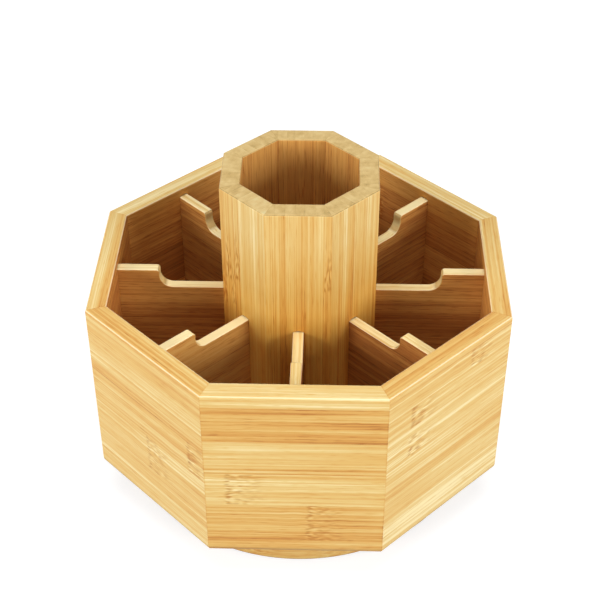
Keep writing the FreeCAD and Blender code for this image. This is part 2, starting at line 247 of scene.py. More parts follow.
@dataclass(frozen=True)
class BambooFigure:
    """The figure of sawn bamboo that boards share: fibres, bands, knuckles, seams, edges and end grain.

    Fibres and bundles are drawn two to three times as coarse as real ones, so that they show.
    """

    fibre: Feature = Feature(1.1, 130.0, 1.15, 3.0)
    band: Feature = Feature(2.8, 350.0, 0.85, 2.0)
    cloud: Feature = Feature(13.0, 60.0, 0.45, 1.0)
    bundle: Feature = Feature(0.6, 8.0, 0.25, 1.0)
    sway: Feature = Feature(14.0, 90.0, 1.6, 1.0)  # waves of the grain
    swirl: Feature = Feature(6.0, 9.0, 1.6)  # waves beside a knuckle
    stray: Feature = Feature(6.0, 130.0, 4.0, 2.0)  # how a knuckle wanders across its strip
    fleck: Feature = Feature(0.95, 3.6, 0.5)
    patch: Feature = Feature(4.0, 7.0, 0.65, 1.0)  # where a knuckle has few flecks
    pore: Feature = Feature(0.5, 130.0, 0.4, 1.0)
    blot: Feature = Feature(9.0, 130.0, 1.1, 2.0)  # stains in the end grain
    knuckle_mm: float = 20.0  # mottled length of a culm's knuckle
    lip_mm: tuple[float, float] = (-2.5, 0.5)  # where that length begins and where it is full
    fade: tuple[float, float] = (0.1, 1.0)  # where its flecks start to fade and end, in its lengths
    swirl_reach: float = 1.5  # how far from it the grain swirls, in its lengths
    ridge_mm: tuple[float, float] = (0.2, 1.8)  # how far a knuckle's ridge is full, and how far it goes
    ridge_share: float = 0.2
    pale_share: float = 0.2  # how much paler a knuckle is between its flecks
    # How strong the painted highlight on edges that face up is.
    arris_share: float = 0.65
    seam_share: float = 0.3
    calm_share: float = 0.4  # what a face under painted shade keeps of its streaks
    roughness: tuple[float, float] = (0.52, 0.4)  # of dark and of pale fibres
    relief_mm: tuple[float, float, float] = (0.012, -0.001, -0.03)  # of fibres, flecks and seams
    reach_mm: float = 200.0  # how far from a board's middle a knuckle can be told
    spread: tuple[float, float, float] = (37.1, 91.7, 53.3)  # sets strips apart in the noise
    darkest: float = -0.25  # tone of the first of these colours
    wood: tuple[str, ...] = ("#8A5426", "#B57237", "#DCA153", "#E8BC6D", "#EFD08A", "#FFEBB4")
    end_places: tuple[float, ...] = (0.0, 0.4, 0.7, 1.0)  # tones of the end grain's colours
    end_wood: tuple[str, ...] = ("#9A7F48", "#D3B272", "#E3C587", "#E6D49C")
    end_shade: float = 0.1  # how much darker end grain is
    end_seam_share: float = 0.12
    end_edge_share: float = 0.6
    fleck_colour: str = "#B46C28"
    sanded_colour: str = "#FFF3D0"  # painted highlight on edges that face up
    dull_colour: str = "#BFAC86"  # painted shade: what edges that face down are multiplied by

    @cached_property
    def tree(self) -> bpy.types.ShaderNodeTree:
        """Node group from a place in a board to its colour, roughness and relief in millimetres.

        Its inputs are the place, the facing in the board's own directions, how far the surface faces
        up, how much of a seam there is, how much painted shade darkens the wood, how far the face is
        one of the inner ones under painted shade, and the facts of the strip there.

        Returns:
            The new group, which later calls return again.
        """
        tree = bpy.data.node_groups.new("bamboo_figure", "ShaderNodeTree")
        add = partial(add_node, tree)
        sockets = {
            "INPUT": {"Vector": "Place Facing", "Float": "Rise Seam Shade Inside", "Color": "Strip"},
            "OUTPUT": {"Color": "Colour", "Float": "Roughness Relief"},
        }
        for way, kinds in sockets.items():
            for kind, names in kinds.items():
                for name in names.split():
                    tree.interface.new_socket(name, in_out=way, socket_type=f"NodeSocket{kind}")
        given = add("NodeGroupInput").outputs
        facts = add("ShaderNodeSeparateColor", {"Color": given["Strip"]}).outputs
        apart = add("ShaderNodeVectorMath", {0: self.spread, "Scale": facts["Blue"]}, operation="SCALE")
        strip = StripNodes(add, given, apart)
        strip.past = self.past_knuckle(strip, facts["Green"])
        bent = self.bent_place(strip)
        fibre, band, cloud, bundle = (
            strip.noise(feature, bent) for feature in (self.fibre, self.band, self.cloud, self.bundle)
        )
        streaks = [(fibre, self.fibre.share), (band, self.band.share), (cloud, self.cloud.share)]
        # Faces under painted shade keep less of their streaks.
        calm = add(MAP_RANGE, {"Value": given["Inside"], "To Min": 1.0, "To Max": self.calm_share})
        bundle = add(MAP_RANGE, {"Value": bundle, "From Min": 0.05, "From Max": 0.3})
        marks, pale = self.knuckle_marks(strip)
        tones = [
            (weighted_sum(add, 0.0, streaks), calm),
            (bundle, -self.bundle.share),
            (pale, self.pale_share),
            (given["Seam"], -self.seam_share),
            (given["Shade"], -1.0),
        ]
        tone = weighted_sum(add, facts["Red"], tones)
        level = add(MAP_RANGE, {"Value": tone, "From Min": self.darkest})
        last = len(self.wood) - 1
        stops = [(number / last, linear(colour)) for number, colour in enumerate(self.wood)]
        wood = add(RAMP, {"Fac": level}, stops)
        flecked = {SHARE: marks, FIRST: wood, SECOND: linear(self.fleck_colour)}
        marked = add(MIX, flecked, data_type="RGBA")
        edged = self.with_edges(strip, marked)
        dark, light = self.roughness
        roughness = add(
            MAP_RANGE,
            {"Value": fibre, "From Min": -0.2, "From Max": 0.2, "To Min": dark, "To Max": light},
        )
        relief = weighted_sum(add, 0.0, list(zip((fibre, marks, given["Seam"]), self.relief_mm)))
        colour = self.with_end_grain(strip, facts["Red"], edged)
        add("NodeGroupOutput", {"Colour": colour, "Roughness": roughness, "Relief": relief})
        return tree

    def past_knuckle(self, strip: StripNodes, share: Source) -> Source:
        """Adds the way along the grain from the strip's knuckle, which wanders across the strip.

        Args:
            strip: what the strip's nodes share.
            share: where the knuckle lies, from 0 to 1 over twice the reach.

        Returns:
            Millimetres past the knuckle.
        """
        along = strip.add(SEPARATE, {"Vector": strip.given["Place"]}).outputs["X"]
        reach = {"Value": share, "To Min": -self.reach_mm, "To Max": self.reach_mm}
        knuckle = strip.add(MAP_RANGE, reach)
        past = strip.add(MATH, {0: along, 1: knuckle}, operation="SUBTRACT")
        return weighted_sum(strip.add, past, [(strip.noise(self.stray), self.stray.share)])

    def bent_place(self, strip: StripNodes) -> Node:
        """Adds the place in a board whose grain is straightened out: it sways, and swirls by a knuckle.

        Args:
            strip: what the strip's nodes share.

        Returns:
            Place in the straightened board.
        """
        near = {
            "Value": strip.add(MATH, {0: strip.past}, operation="ABSOLUTE"),
            "From Max": self.swirl_reach * self.knuckle_mm,
            "To Min": self.swirl.share,
            "To Max": 0.0,
        }
        depth = strip.add(MAP_RANGE, near, interpolation_type="SMOOTHSTEP")
        waves = [(strip.noise(self.sway), self.sway.share), (strip.noise(self.swirl), depth)]
        parts = strip.add(SEPARATE, {"Vector": strip.given["Place"]}).outputs
        across = weighted_sum(strip.add, parts["Y"], waves)
        return strip.add(COMBINE, {"X": parts["X"], "Y": across, "Z": parts["Z"]})

    def knuckle_marks(self, strip: StripNodes) -> tuple[Source, Source]:
        """Adds the marks of a knuckle: a ridge of dark dashes that fades out in flecks.

        Args:
            strip: what the strip's nodes share.

        Returns:
            How dark the marks are, and how pale the wood between them is.
        """
        patch, fleck = strip.noise(self.patch), strip.noise(self.fleck)
        away = strip.add(MATH, {0: strip.past}, operation="ABSOLUTE")
        # Each row maps a source from one range to another.
        lip, fade, ridge, patch, dark, light, dash = (
            strip.add(
                MAP_RANGE,
                {"Value": source, "From Min": start, "From Max": end, "To Min": low, "To Max": high},
                interpolation_type=way,
            )
            for source, (start, end), (low, high), way in (
                (strip.past, self.lip_mm, (0.0, 1.0), "SMOOTHSTEP"),
                (strip.past, [share * self.knuckle_mm for share in self.fade], (1.0, 0.0), "SMOOTHSTEP"),
                (away, self.ridge_mm, (self.ridge_share, 0.0), "SMOOTHSTEP"),
                (patch, (-0.15, 0.1), (1 - self.patch.share, 1.0), "LINEAR"),
                (fleck, (-0.02, 0.16), (0.0, self.fleck.share), "LINEAR"),
                (fleck, (-0.2, 0.0), (1.0, -0.4), "LINEAR"),
                (fleck, (-0.1, 0.05), (0.0, 1.0), "LINEAR"),
            )
        )
        mottle = strip.add(MATH, {0: lip, 1: fade}, operation="MULTIPLY")
        mottle = strip.add(MATH, {0: mottle, 1: patch}, operation="MULTIPLY")
        marks = weighted_sum(strip.add, 0.0, [(ridge, dash), (mottle, dark)])
        return marks, weighted_sum(strip.add, 0.0, [(mottle, light)])

    def with_edges(self, strip: StripNodes, colour: Source) -> Node:
        """Adds a painted highlight on rounded edges that face up, and painted shade on what faces down.

        Args:
            strip: what the strip's nodes share.
            colour: colour of the faces.

        Returns:
            The colour with its edges.
        """
        add, facing, rise = strip.add, strip.given["Facing"], strip.given["Rise"]
        squares = add("ShaderNodeVectorMath", {0: facing, 1: facing}, operation="MULTIPLY")
        parts = add(SEPARATE, {"Vector": squares}).outputs
        most = add(MATH, {0: parts["X"], 1: parts["Y"]}, operation="MAXIMUM")
        most = add(MATH, {0: most, 1: parts["Z"]}, operation="MAXIMUM")
        edge = add(MAP_RANGE, {"Value": most, "From Min": 0.95, "From Max": 0.55})
        upward = {"Value": rise, "From Min": 0.2, "From Max": 0.6, "To Max": self.arris_share}
        share = add(MATH, {0: edge, 1: add(MAP_RANGE, upward)}, operation="MULTIPLY")
        # Painted highlight on rounded edges that face up.
        pale = {SHARE: share, FIRST: colour, SECOND: linear(self.sanded_colour)}
        highlighted = add(MIX, pale, data_type="RGBA")
        # Painted shade on edges that face down.
        downward = add(MAP_RANGE, {"Value": rise, "From Max": -0.6})
        painted_shade = {SHARE: downward, FIRST: highlighted, SECOND: linear(self.dull_colour)}
        return add(MIX, painted_shade, data_type="RGBA", blend_type="MULTIPLY")

    def with_end_grain(self, strip: StripNodes, tone: Source, colour: Source) -> Node:
        """Adds the cut ends of the bundles, which show as olive pores where the board is sawn across.

        Args:
            strip: what the strip's nodes share.
            tone: paleness of the strip.
            colour: colour of the wood along the grain.

        Returns:
            The colour with end grain, which darkens towards the edges of the cut.
        """
        add = strip.add
        along = add(SEPARATE, {"Vector": strip.given["Facing"]}).outputs["X"]
        square = add(MATH, {0: along, 1: along}, operation="MULTIPLY")
        edge = add(MAP_RANGE, {"Value": square, "From Min": 0.95, "From Max": 0.4})
        shares = [(strip.noise(feature), feature.share) for feature in (self.pore, self.blot)]
        shares += [(strip.given["Seam"], -self.end_seam_share), (edge, -self.end_edge_share)]
        level = weighted_sum(add, tone, shares)
        level = add(MATH, {0: level, 1: self.end_shade}, operation="SUBTRACT")
        end = add(RAMP, {"Fac": level}, list(zip(self.end_places, map(linear, self.end_wood))))
        cut = add(MAP_RANGE, {"Value": square, "From Min": 0.15, "From Max": 0.4})
        return add(MIX, {SHARE: cut, FIRST: colour, SECOND: end}, data_type="RGBA")


@dataclass(frozen=True)
class Strip:
    """One lamella of a laminated board: its width, its paleness and where its knuckle lies."""

    width_mm: float
    tone: float
    knuckle_mm: float = 130.0  # along the grain, past the end of any board


@dataclass(frozen=True)
class Board:
    """One board of the frame, and the strips that it is glued up from."""

    node: str
    side: Side
    middle_mm: Vector  # as if the board stood at the front
    thickness_mm: float
    depth_mm: tuple[float, float]  # heights of the tray's rim and of its floor
    strips: list[Strip]


@dataclass(frozen=True)
class VarnishedBamboo:
    """Laminated bamboo, smoothed with sandpaper and varnished satin: pale straw, honey streaks and a
    soft shine.
    """

    grain: Grain = Grain.FLAT
    mitred: bool = False
    figure: BambooFigure = BambooFigure()
    seam_mm: float = 0.5
    seam_strength: float = 0.5
    seam_stray: tuple[float, float] = (0.1, 1.0)  # the faintest and the strongest, as shares of that
    groove_mm: float = 1.5  # what lies deeper than this is the bottom of a groove
    groove_square: float = 0.9  # and faces out of the board this squarely
    # Painted shade in the bottoms of the grooves.
    groove_colour: str = "#3A2410"
    mitre_mm: float = 0.5  # width of the glue line that shows beside a mitre
    mitre_run_mm: float = 25.0  # how far a glue line goes before it fades or darkens
    mitre_strength: float = 0.8
    dull_faces: tuple[float, float] = (1.0, 0.0)  # how much painted shade the inner and the outer face get
    dull_shade: tuple[float, float] = (0.42, 0.74)  # how much painted shade darkens them at rim and at floor
    foot_mm: tuple[float, float] = (55.0, 5.0)  # heights over the middle where a foot begins and is full
    foot_shade: float = 0.0  # how much painted shade darkens it there
    foot_tint: str = "#FFFFFF"  # painted warm bounce light from the wood around it there
    relief_strength: float = 0.8
    specular: float = 0.18
    coat: float = 0.03
    coat_roughness: float = 0.25

    def stops(self, board: Board, name: str) -> Stops:
        """Lists strips as the stops of a ramp: paleness, knuckle and draw as colour, seams as alpha.

        Args:
            board: the board that the strips make.
            name: name of the material, which seeds the draw.

        Returns:
            Two stops for a strip, the first one for the seam before it.
        """
        draw = random.Random(name)
        total = sum(strip.width_mm for strip in board.strips)
        half = self.seam_mm / 2 / total
        stops = []
        edge = 0.0
        for strip in board.strips:
            knuckle = 0.5 + strip.knuckle_mm / self.figure.reach_mm / 2
            facts = (strip.tone, knuckle, draw.random())
            if stops:
                stops.append((edge - half, (*facts, draw.uniform(*self.seam_stray))))
            stops.append((edge + half if stops else 0.0, (*facts, 0.0)))
            edge += strip.width_mm / total
        return stops

    def material(self, board: Board) -> bpy.types.Material:
        """Makes the material of a board.

        Args:
            board: the board.

        Returns:
            The new material.
        """
        name = f"varnished_bamboo_{board.node}"
        material, add = new_material(name)
        turn = Matrix.Rotation(-board.side.turn, 3, "Z")
        axes = Matrix(self.grain.value)
        given = add("ShaderNodeTexCoord").outputs
        # The place with the board turned to the front, then along the board's own directions from its
        # middle, both in millimetres, and the facing in those directions.
        front = add(
            MAPPING, {"Vector": given["Object"], "Rotation": turn.to_euler(), "Scale": [1 / MM] * 3}
        )
        middle = axes @ board.middle_mm
        place = add(MAPPING, {"Vector": front, "Rotation": axes.to_euler(), "Location": -middle})
        faced = (axes @ turn).to_euler()
        facing = add(MAPPING, {"Vector": given["Normal"], "Rotation": faced}, vector_type="VECTOR")
        normal, stood, within, outward = (
            add(SEPARATE, {"Vector": vector}).outputs
            for vector in (given["Normal"], front, place, facing)
        )
        half = sum(strip.width_mm for strip in board.strips) / 2
        share = add(MAP_RANGE, {"Value": within["Y"], "From Min": -half, "From Max": half})
        strip = add(RAMP, {"Fac": share}, self.stops(board, name))
        strip.color_ramp.interpolation = "CONSTANT"
        seam = weighted_sum(add, 0.0, [(strip.outputs["Alpha"], self.seam_strength)])
        if self.mitred:
            line = self.mitre_line(add, front, stood)
            seam = add(MATH, {0: seam, 1: line}, operation="MAXIMUM")
        out = outward["Z"]
        square = add(MATH, {0: out, 1: out}, operation="MULTIPLY")
        # Painted shade: inner faces are darker, more so towards the tray's floor.
        inner, outer = self.dull_faces
        face = add(MAP_RANGE, {"Value": out, "From Min": -1.0, "To Min": inner, "To Max": outer})
        painted_shade = add(MATH, {0: square, 1: face}, operation="MULTIPLY")
        (rim, floor), (least, most) = board.depth_mm, self.dull_shade
        darker = add(
            MAP_RANGE,
            {"Value": stood["Z"], "From Min": rim, "From Max": floor, "To Min": least, "To Max": most},
        )
        # Painted shade on the lower part of the tube's staves.
        begin, full = self.foot_mm
        foot = add(MAP_RANGE, {"Value": within["X"], "From Min": begin, "From Max": full})
        figured = add(
            "ShaderNodeGroup",
            {
                "Place": place,
                "Facing": facing,
                "Rise": normal["Z"],
                "Strip": strip,
                "Seam": seam,
                "Shade": weighted_sum(add, 0.0, [(painted_shade, darker), (foot, self.foot_shade)]),
                "Inside": painted_shade,
            },
            node_tree=self.figure.tree,
        ).outputs
        # Painted warm bounce light on the tube's lower part.
        warmth = {SHARE: foot, FIRST: figured["Colour"], SECOND: linear(self.foot_tint)}
        warm = add(MIX, warmth, data_type="RGBA", blend_type="MULTIPLY")
        # Painted shade in the bottoms of the grooves.
        sunk = self.sunk(add, board.thickness_mm / 2, within["Z"], square)
        colour = {SHARE: sunk, FIRST: warm, SECOND: linear(self.groove_colour)}
        relief = {"Height": figured["Relief"], "Distance": MM, "Strength": self.relief_strength}
        shader = add(
            SHADER,
            {
                "Base Color": add(MIX, colour, data_type="RGBA"),
                "Roughness": figured["Roughness"],
                "Normal": add("ShaderNodeBump", relief),
                "Specular IOR Level": self.specular,
                "Coat Weight": self.coat,
                "Coat Roughness": self.coat_roughness,
            },
        )
        add("ShaderNodeOutputMaterial", {"Surface": shader})
        return material

    def sunk(self, add: Adder, face_mm: float, level: Source, square: Source) -> Node:
        """Adds painted shade on the bottoms of the grooves.

        Args:
            add: adds a node to the material.
            face_mm: from the board's middle to its outer face.
            level: millimetres from the middle towards that face.
            square: how squarely the surface faces out of the board or into it.

        Returns:
            How far a surface is the bottom of a groove.
        """
        level = add(MATH, {0: level}, operation="ABSOLUTE")
        deep = add(MATH, {0: level, 1: face_mm - self.groove_mm}, operation="LESS_THAN")
        flat = add(MATH, {0: square, 1: self.groove_square}, operation="GREATER_THAN")
        return add(MATH, {0: deep, 1: flat}, operation="MULTIPLY")

    def mitre_line(self, add: Adder, front: Source, parts: Sockets) -> Node:
        """Adds the glue line beside the mitres, which comes and goes along the joint.

        Args:
            add: adds a node to the material.
            front: place in millimetres, with the board turned to the front.
            parts: the parts of that place.

        Returns:
            How much of a glue line there is.
        """
        reach_per_mm = math.tan(math.pi / len(Side))  # half a side for each millimetre from the axis
        reach = add(MATH, {0: parts["Y"], 1: -reach_per_mm}, operation="MULTIPLY")
        along = add(MATH, {0: parts["X"]}, operation="ABSOLUTE")
        left = add(MATH, {0: reach, 1: along}, operation="SUBTRACT")
        worn = add(NOISE, {"Vector": front, "Scale": 1 / self.mitre_run_mm, "Detail": 1.0})
        strength = add(
            MAP_RANGE, {"Value": worn, "From Min": 0.3, "From Max": 0.65, "To Max": self.mitre_strength}
        )
        return add(
            MAP_RANGE,
            {
                "Value": left,
                "From Min": 0.05,
                "From Max": self.mitre_mm,
                "To Min": strength,
                "To Max": 0.0,
            },
        )


@dataclass
class Boards:
    """Boards of one kind, glued up from strips of one width."""

    piece: str = ""
    finish: VarnishedBamboo = VarnishedBamboo()
    strip_mm: float = 21.0
    strip_stray: tuple[float, float] = (0.8, 1.2)  # narrowest and widest strip, as shares of that
    tone: float = 0.58
    side_tones: dict[Side, float] = field(default_factory=dict)  # where a side has its own tone
    stray: float = 0.12  # how far the paleness of a strip strays
    knuckled: float = 0.35  # share of the strips that show a knuckle
    knuckle_reach_mm: float = 35.0  # how far from the middle one shows
    chosen: dict[Side, list[Strip]] = field(default_factory=dict)  # strips that aren't drawn by lot

    def nodes(self) -> dict[Side, str]:
        """Names the frame's nodes of these boards."""
        return {side: side.node(self.piece) for side in Side}

    def drawn_strips(self, name: str, tone: float, total_mm: float) -> list[Strip]:
        """Draws the strips of a board by lot.

        Args:
            name: name of the board, which seeds the draw.
            tone: paleness that the strips stray from.
            total_mm: width of the board.

        Returns:
            Strips that fill the board.
        """
        draw = random.Random(name)
        reach = self.knuckle_reach_mm
        strips = []
        while total_mm > 0:
            width = min(total_mm, self.strip_mm * draw.uniform(*self.strip_stray))
            knuckle = draw.uniform(-reach, reach) if draw.random() < self.knuckled else Strip.knuckle_mm
            strips.append(Strip(width, tone + draw.uniform(-self.stray, self.stray), knuckle))
            total_mm -= width
        return strips

    def dress(self) -> None:
        """Gives each board its own wood."""
        low, high = (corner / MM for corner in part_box(next(iter(self.nodes().values()))))
        size = Matrix(self.finish.grain.value) @ (high - low)
        depths = (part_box("wall_panel_front")[1].z / MM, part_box("tray_floor")[1].z / MM)
        for side, node in self.nodes().items():
            tone = self.side_tones.get(side, self.tone)
            strips = self.chosen.get(side) or self.drawn_strips(node, tone, abs(size.y))
            board = Board(node, side, (low + high) / 2, abs(size.z), depths, strips)
            dress(node, self.finish.material(board))


@dataclass
class WallRing(Boards):
    """The tray's eight mitred walls, with level strips. Those in full view have chosen ones."""

    piece: str = "wall_panel"
    finish: VarnishedBamboo = VarnishedBamboo(Grain.LEVEL, mitred=True)
    tone: float = 0.6
    chosen: dict[Side, list[Strip]] = field(
        default_factory=lambda: {
            Side.FRONT: [
                Strip(9.3, 0.5), Strip(24.0, 0.46, 6.5), Strip(20.2, 0.62, -31.0),
                Strip(19.8, 0.6), Strip(20.6, 0.4), Strip(6.6, 0.75),
            ],
            Side.FRONT_LEFT: [
                Strip(26.5, 0.66), Strip(21.0, 0.62, 0.0), Strip(18.0, 0.6, 31.0),
                Strip(5.5, 0.5), Strip(15.5, 0.64), Strip(14.0, 0.6),
            ],
            Side.LEFT: [
                Strip(22.0, 0.6), Strip(20.0, 0.55), Strip(21.0, 0.62), Strip(19.0, 0.56),
                Strip(18.5, 0.54),
            ],
            Side.RIGHT: [
                Strip(21.0, 0.62), Strip(19.5, 0.57), Strip(22.0, 0.64), Strip(20.0, 0.58),
                Strip(18.0, 0.6),
            ],
            Side.FRONT_RIGHT: [
                Strip(18.5, 0.78), Strip(20.0, 0.62), Strip(17.0, 0.6),
                Strip(13.0, 0.64, -26.0), Strip(5.0, 0.7), Strip(12.0, 0.63, -25.0),
                Strip(11.0, 0.53, 14.0), Strip(4.0, 0.46),
            ],
        }
    )


@dataclass
class CentreTube(Boards):
    """The tube's eight mitred staves, with narrow upright strips of a finer figure."""

    piece: str = "tube_stave"
    finish: VarnishedBamboo = VarnishedBamboo(
        Grain.UPRIGHT,
        mitred=True,
        figure=BambooFigure(
            fibre=Feature(0.55, 170.0, 1.0, 3.0),
            band=Feature(1.4, 450.0, 0.6, 2.0),
            cloud=Feature(7.0, 80.0, 0.45, 1.0),
            bundle=Feature(0.45, 10.0, 0.25, 1.0),
            sway=Feature(8.0, 120.0, 0.8, 1.0),
            swirl=Feature(6.0, 9.0, 0.9),
            stray=Feature(6.0, 170.0, 4.0, 2.0),
            fleck=Feature(0.8, 4.5, 0.8),
            patch=Feature(3.0, 11.0, 0.65, 1.0),
            pore=Feature(0.35, 170.0, 0.4, 1.0),
            blot=Feature(5.0, 170.0, 1.1, 2.0),
            knuckle_mm=32.0,
        ),
        foot_shade=0.22,
        foot_tint="#FFF0C0",
    )
    strip_mm: float = 4.2
    tone: float = 0.66
    stray: float = 0.05
    knuckled: float = 0.12
    chosen: dict[Side, list[Strip]] = field(
        default_factory=lambda: {
            Side.FRONT: [
                Strip(3.6, 0.54, 31.0), Strip(4.4, 0.58), Strip(4.6, 0.6), Strip(4.2, 0.56),
                Strip(4.8, 0.6), Strip(4.6, 0.57), Strip(4.9, 0.62),
            ],
            # Its strips are paler partly to paint the light that falls on that face of the tube.
            Side.FRONT_LEFT: [
                Strip(4.4, 0.78), Strip(4.8, 0.8), Strip(4.2, 0.78), Strip(4.6, 0.79),
                Strip(3.4, 0.72, 26.0), Strip(3.2, 0.6, 10.0), Strip(3.2, 0.52, 24.0),
                Strip(3.3, 0.5, 8.0),
            ],
        }
    )


@dataclass
class DividerSet(Boards):
    """The eight dividers, with strips that run from the wall to the tube."""

    piece: str = "divider"
    # Painted shade on both faces of each divider, more of it towards the floor.
    finish: VarnishedBamboo = VarnishedBamboo(
        Grain.RADIAL, dull_faces=(1.0, 1.0), dull_shade=(0.81, 1.0)
    )
    tone: float = 0.98
    # The front-left divider's higher tone partly paints the light that falls on its face.
    side_tones: dict[Side, float] = field(
        default_factory=lambda: {Side.FRONT: 0.72, Side.FRONT_RIGHT: 0.88, Side.FRONT_LEFT: 1.14}
    )
    stray: float = 0.04
    knuckled: float = 0.0


@dataclass
class SingleBoard(Boards):
    """One board that lies flat, with no painted shade on either face."""

    finish: VarnishedBamboo = VarnishedBamboo(dull_faces=(0.0, 0.0))

    def nodes(self) -> dict[Side, str]:
        """Names the one node."""
        return {Side.FRONT: self.piece}


@dataclass
class TrayFloor(SingleBoard):
    """The octagonal board under the compartments."""

    piece: str = "tray_floor"
    # A darker board, which also paints the shade inside the compartments.
    tone: float = 0.35


@dataclass
class BaseDisc(SingleBoard):
    """The round board that stays still on the table."""

    piece: str = "base_disc"
    tone: float = 0.5


@dataclass(frozen=True)
class GrainedFinish:
    """A finish of one stuff with a fine grain in its colour, its shine and its surface."""

    name: str
    colours: tuple[str, str]
    metallic: float
    roughness: tuple[float, float]
    grain_mm: tuple[float, float, float]
    relief_mm: float
    span: tuple[float, float] = (0.3, 0.7)  # part of the noise that the colours and shine cover

    def material(self) -> bpy.types.Material:
        """Makes the material.

        Returns:
            The new material.
        """
        material, add = new_material(self.name)
        place = add("ShaderNodeTexCoord").outputs["Object"]
        scale = [1 / (size * MM) for size in self.grain_mm]
        place = add(MAPPING, {"Vector": place, "Scale": scale})
        grain = add(NOISE, {"Vector": place, "Scale": 1.0, "Detail": 3.0})
        (start, end), (low, high) = self.span, self.roughness
        stops = list(zip(self.span, map(linear, self.colours)))
        shine = {"Value": grain, "From Min": start, "From Max": end, "To Min": low, "To Max": high}
        relief = {"Height": grain, "Distance": self.relief_mm * MM, "Strength": 1.0}
        shader = add(
            SHADER,
            {
                "Base Color": add(RAMP, {"Fac": grain}, stops),
                "Roughness": add(MAP_RANGE, shine),
                "Normal": add("ShaderNodeBump", relief),
                "Metallic": self.metallic,
            },
        )
        add("ShaderNodeOutputMaterial", {"Surface": shader})
        return material


# Bright zinc over pressed steel: a cool grey sheen, a little cloudy, with faint rolling lines.
ZINC_PLATED_STEEL = GrainedFinish(
    "zinc_plated_steel",
    colours=("#A9ADB2", "#C6C8C9"),
    metallic=1.0,
    roughness=(0.26, 0.42),
    grain_mm=(14.0, 0.5, 0.5),
    relief_mm=0.01,
)
# Zinc over turned screws: the same grey, with finer grain.
ZINC_PLATED_SCREW = GrainedFinish(
    "zinc_plated_screw_steel",
    colours=("#A2A6AA", "#C2C4C4"),
    metallic=1.0,
    roughness=(0.28, 0.4),
    grain_mm=(0.5, 0.5, 0.5),
    relief_mm=0.005,
)
# Lapped bearing steel: a dark mirror with hardly any grain.
LAPPED_BALL_STEEL = GrainedFinish(
    "lapped_bearing_steel",
    colours=("#BCBDC0", "#C9CACC"),
    metallic=1.0,
    roughness=(0.06, 0.12),
    grain_mm=(0.4, 0.4, 0.4),
    relief_mm=0.001,
)
# Natural nylon, moulded: milky white with a dull shine and faint clouds of flow.
MOULDED_NYLON = GrainedFinish(
    "moulded_natural_nylon",
    colours=("#D8D3C5", "#E6E2D6"),
    metallic=0.0,
    roughness=(0.42, 0.55),
    grain_mm=(5.0, 5.0, 5.0),
    relief_mm=0.01,
)
# Moulded rubber: near black and matt, with grit drawn coarser than real so that it shows.
MOULDED_RUBBER = GrainedFinish(
    "moulded_black_rubber",
    colours=("#1A1A1A", "#282827"),
    metallic=0.0,
    roughness=(0.7, 0.9),
    grain_mm=(0.5, 0.5, 0.5),
    relief_mm=0.06,
)


def new_geometry(name: str, sizes: list[str]) -> tuple[bpy.types.GeometryNodeTree, Adder, Sockets]:
    """Starts a tree of Geometry Nodes that makes a piece from its sizes.

    Args:
        name: what the tree makes.
        sizes: names of its inputs, lengths in metres or angles in radians.

    Returns:
        The tree, what adds a node to it, and its inputs, of which the last is the finish.
    """
    tree = bpy.data.node_groups.new(name, "GeometryNodeTree")
    for size in sizes:
        tree.interface.new_socket(size, in_out="INPUT", socket_type="NodeSocketFloat")
    tree.interface.new_socket("Finish", in_out="INPUT", socket_type="NodeSocketMaterial")
    tree.interface.new_socket("Geometry", in_out="OUTPUT", socket_type="NodeSocketGeometry")
    add = partial(add_node, tree)
    return tree, add, add("NodeGroupInput").outputs


def end_geometry(add: Adder, shape: Source, finish: Source) -> None:
    """Ends a tree of Geometry Nodes with a plain mesh of one finish.

    Args:
        add: adds a node to the tree.
        shape: what the tree made.
        finish: the input that holds the finish.
    """
    real = add("GeometryNodeRealizeInstances", {"Geometry": shape})
    dressed = add("GeometryNodeSetMaterial", {"Geometry": real, "Material": finish})
    add("NodeGroupOutput", {"Geometry": dressed})


def grow(
    name: str, tree: bpy.types.GeometryNodeTree, sizes: dict[str, float], finish: bpy.types.Material
) -> bpy.types.Object:
    """Runs a tree and keeps its result as a plain mesh.

    Args:
        name: name of the piece.
        tree: tree that makes it.
        sizes: values of the tree's inputs.
        finish: material of the piece.

    Returns:
        The piece, with no modifier left on it.
    """
    piece = bpy.data.objects.new(name, bpy.data.meshes.new(name))
    bpy.context.scene.collection.objects.link(piece)
    modifier = piece.modifiers.new("growth", "NODES")
    modifier.node_group = tree
    values = {**sizes, "Finish": finish}
    for item in tree.interface.items_tree:
        if item.in_out == "INPUT":
            modifier[item.identifier] = values[item.name]
    evaluated = piece.evaluated_get(bpy.context.evaluated_depsgraph_get())
    mesh = bpy.data.meshes.new_from_object(evaluated)
    piece.modifiers.remove(modifier)
    piece.data = mesh
    log.info("%s: %d faces", name, len(mesh.polygons))
    return piece


